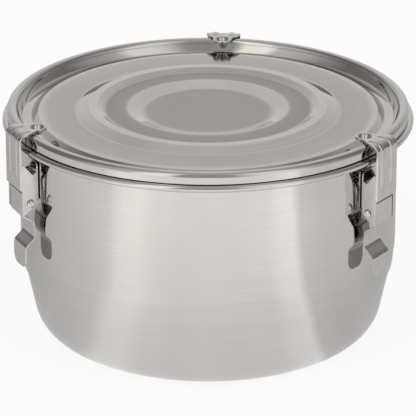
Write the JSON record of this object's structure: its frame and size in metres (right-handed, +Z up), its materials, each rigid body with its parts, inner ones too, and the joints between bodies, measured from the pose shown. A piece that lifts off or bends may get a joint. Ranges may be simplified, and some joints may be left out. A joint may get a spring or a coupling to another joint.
{
  "type": "lunch box",
  "caption": "Round deep-drawn stainless steel lunch box with a recessed ringed lid, a silicone seal and over-centre draw clips round the rim.",
  "frame": {"origin": "centre of the flat base, on the surface that the box stands on", "axes": "+Z up the pot's axis towards the lid, +Y towards the rear clip; the other two clips stand 120 degrees either side of it"},
  "size_m": [0.1952, 0.1986, 0.1157],
  "materials": {
    "pot_steel": "satin polished 18-8 stainless steel",
    "lid_steel": "pressed and polished 18-8 stainless steel",
    "clip_steel": "tumbled stamped stainless sheet",
    "pin_steel": "bright headed stainless wire",
    "silicone": "translucent food-grade silicone"
  },
  "bodies": {
    "container": {"pot_body": "pot_steel", "lid_pan": "lid_steel", "lid_gasket": "silicone", "rear_bracket": "clip_steel", "rear_bracket_pin": "pin_steel", "left_bracket": "clip_steel", "left_bracket_pin": "pin_steel", "right_bracket": "clip_steel", "right_bracket_pin": "pin_steel"},
    "rear_lever": {"rear_lever": "clip_steel"},
    "rear_hook": {"rear_hook": "clip_steel", "rear_rivet_a": "pin_steel", "rear_rivet_b": "pin_steel"},
    "left_lever": {"left_lever": "clip_steel"},
    "left_hook": {"left_hook": "clip_steel", "left_rivet_a": "pin_steel", "left_rivet_b": "pin_steel"},
    "right_lever": {"right_lever": "clip_steel"},
    "right_hook": {"right_hook": "clip_steel", "right_rivet_a": "pin_steel", "right_rivet_b": "pin_steel"}
  },
  "joints": [
    {"name": "rear_lever_pull", "type": "hinge", "parent": "container", "child": "rear_lever", "pos_m": [0, 0.094, 0.09], "axis": [1, 0, 0], "range_deg": [0, 90]},
    {"name": "rear_hook_swing", "type": "hinge", "parent": "rear_lever", "child": "rear_hook", "pos_m": [0, 0.0951, 0.0808], "axis": [1, 0, 0], "range_deg": [-69.5, 1]},
    {"name": "left_lever_pull", "type": "hinge", "parent": "container", "child": "left_lever", "pos_m": [-0.08141, -0.047, 0.09], "axis": [-0.5, 0.866, 0], "range_deg": [0, 90]},
    {"name": "left_hook_swing", "type": "hinge", "parent": "left_lever", "child": "left_hook", "pos_m": [-0.08236, -0.04755, 0.0808], "axis": [-0.5, 0.866, 0], "range_deg": [-69.5, 1]},
    {"name": "right_lever_pull", "type": "hinge", "parent": "container", "child": "right_lever", "pos_m": [0.08141, -0.047, 0.09], "axis": [-0.5, -0.866, 0], "range_deg": [0, 90]},
    {"name": "right_hook_swing", "type": "hinge", "parent": "right_lever", "child": "right_hook", "pos_m": [0.08236, -0.04755, 0.0808], "axis": [-0.5, -0.866, 0], "range_deg": [-69.5, 1]}
  ],
  "couplings": [
    {"joint": "rear_hook_swing", "follows": "rear_lever_pull", "ratio": -0.75},
    {"joint": "left_hook_swing", "follows": "left_lever_pull", "ratio": -0.75},
    {"joint": "right_hook_swing", "follows": "right_lever_pull", "ratio": -0.75}
  ]
}
